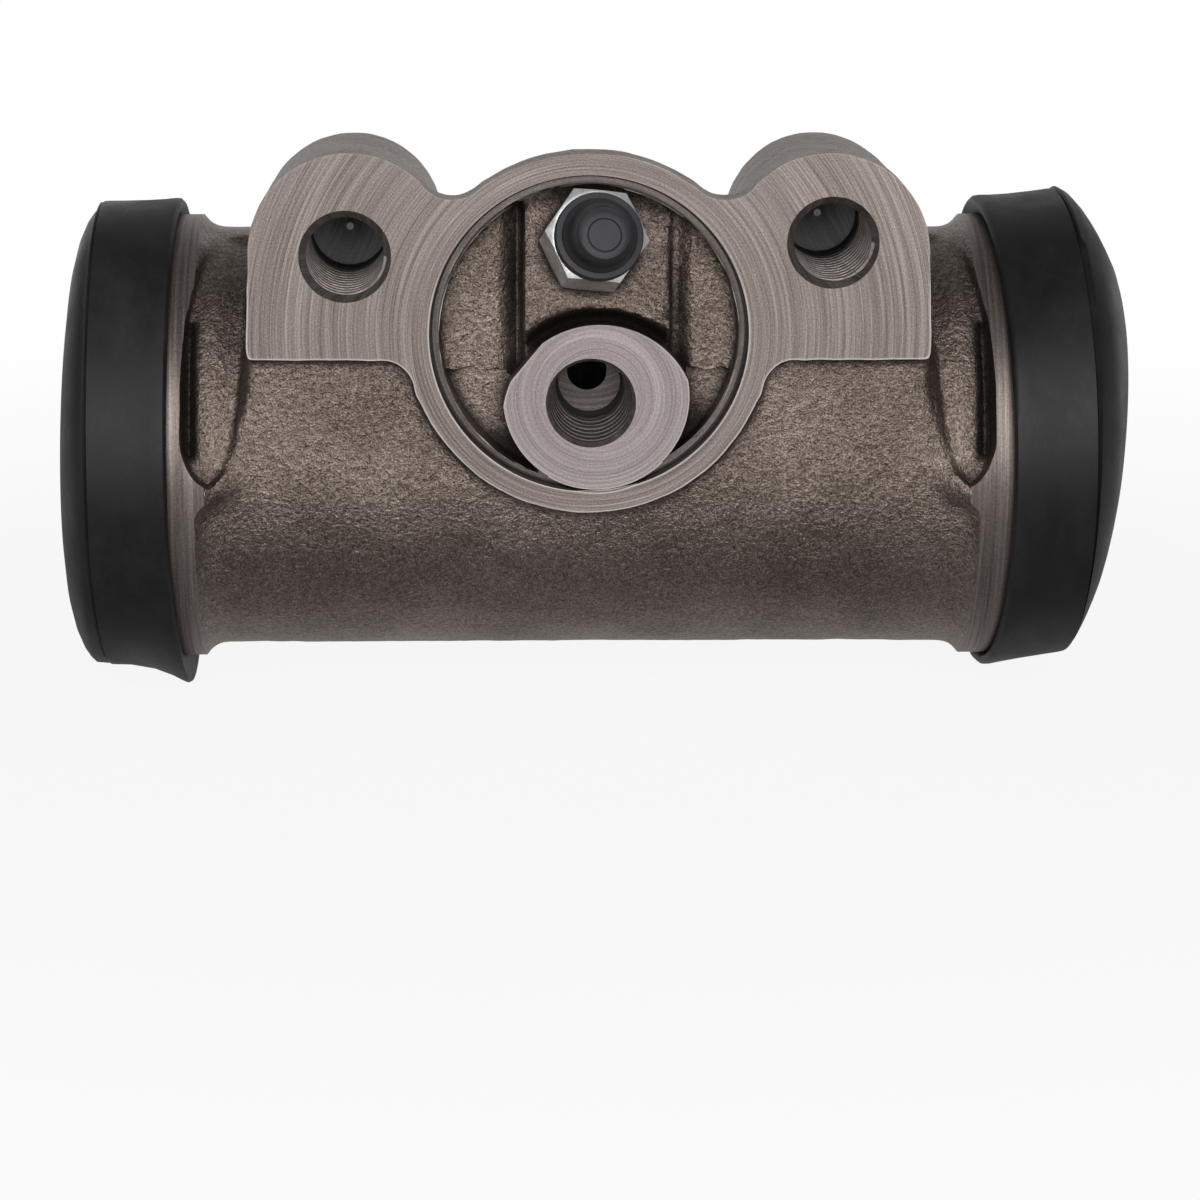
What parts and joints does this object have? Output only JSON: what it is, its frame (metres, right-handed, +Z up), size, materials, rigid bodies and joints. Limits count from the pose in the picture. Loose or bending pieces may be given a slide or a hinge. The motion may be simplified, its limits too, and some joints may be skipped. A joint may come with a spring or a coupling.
{
  "type": "wheel cylinder",
  "caption": "Cast iron wheel cylinder of a hydraulic drum brake, with opposed sliding pistons under rubber boots, a flanged mounting face and an angled bleeder screw with a rubber cap.",
  "frame": {"origin": "centre of the pilot ring on the plane of the machined mounting face", "axes": "+X along the bore to the right as seen from the mounting face, -Y out of the mounting face, +Z up, with the bleeder above the inlet"},
  "size_m": [0.1314, 0.0688, 0.0682],
  "materials": {
    "casting": "as cast, with milled and turned faces",
    "boot_rubber": "soft black moulding",
    "cap_rubber": "satin black moulding",
    "cup_rubber": "smooth black moulding",
    "zinc_steel": "bright zinc plate",
    "piston_alloy": "turned and anodised",
    "spring_steel": "plain steel"
  },
  "bodies": {
    "cylinder": {"cylinder_body": "casting", "left_boot": "boot_rubber", "right_boot": "boot_rubber", "return_spring": "spring_steel"},
    "left_piston_group": {"left_piston": "piston_alloy", "left_cup": "cup_rubber", "left_cup_expander": "spring_steel"},
    "right_piston_group": {"right_piston": "piston_alloy", "right_cup": "cup_rubber", "right_cup_expander": "spring_steel"},
    "bleeder": {"bleeder_screw": "zinc_steel"},
    "cap": {"bleeder_cap": "cap_rubber"}
  },
  "joints": [
    {"name": "left_piston_slide", "type": "slide", "parent": "cylinder", "child": "left_piston_group", "axis": [-1, 0, 0], "range_m": [-0.008, 0.01], "deforming": ["return_spring"]},
    {"name": "right_piston_slide", "type": "slide", "parent": "cylinder", "child": "right_piston_group", "axis": [1, 0, 0], "range_m": [-0.008, 0.01], "deforming": ["return_spring"]},
    {"name": "bleeder_turn", "type": "hinge", "parent": "cylinder", "child": "bleeder", "pos_m": [0.00016, 0.0036, 0.01], "axis": [0.1064, -0.9337, 0.342], "range_deg": [0, 270]},
    {"name": "bleeder_cap_pull", "type": "slide", "parent": "bleeder", "child": "cap", "axis": [0.1064, -0.9337, 0.342], "range_m": [0, 0.012]}
  ]
}
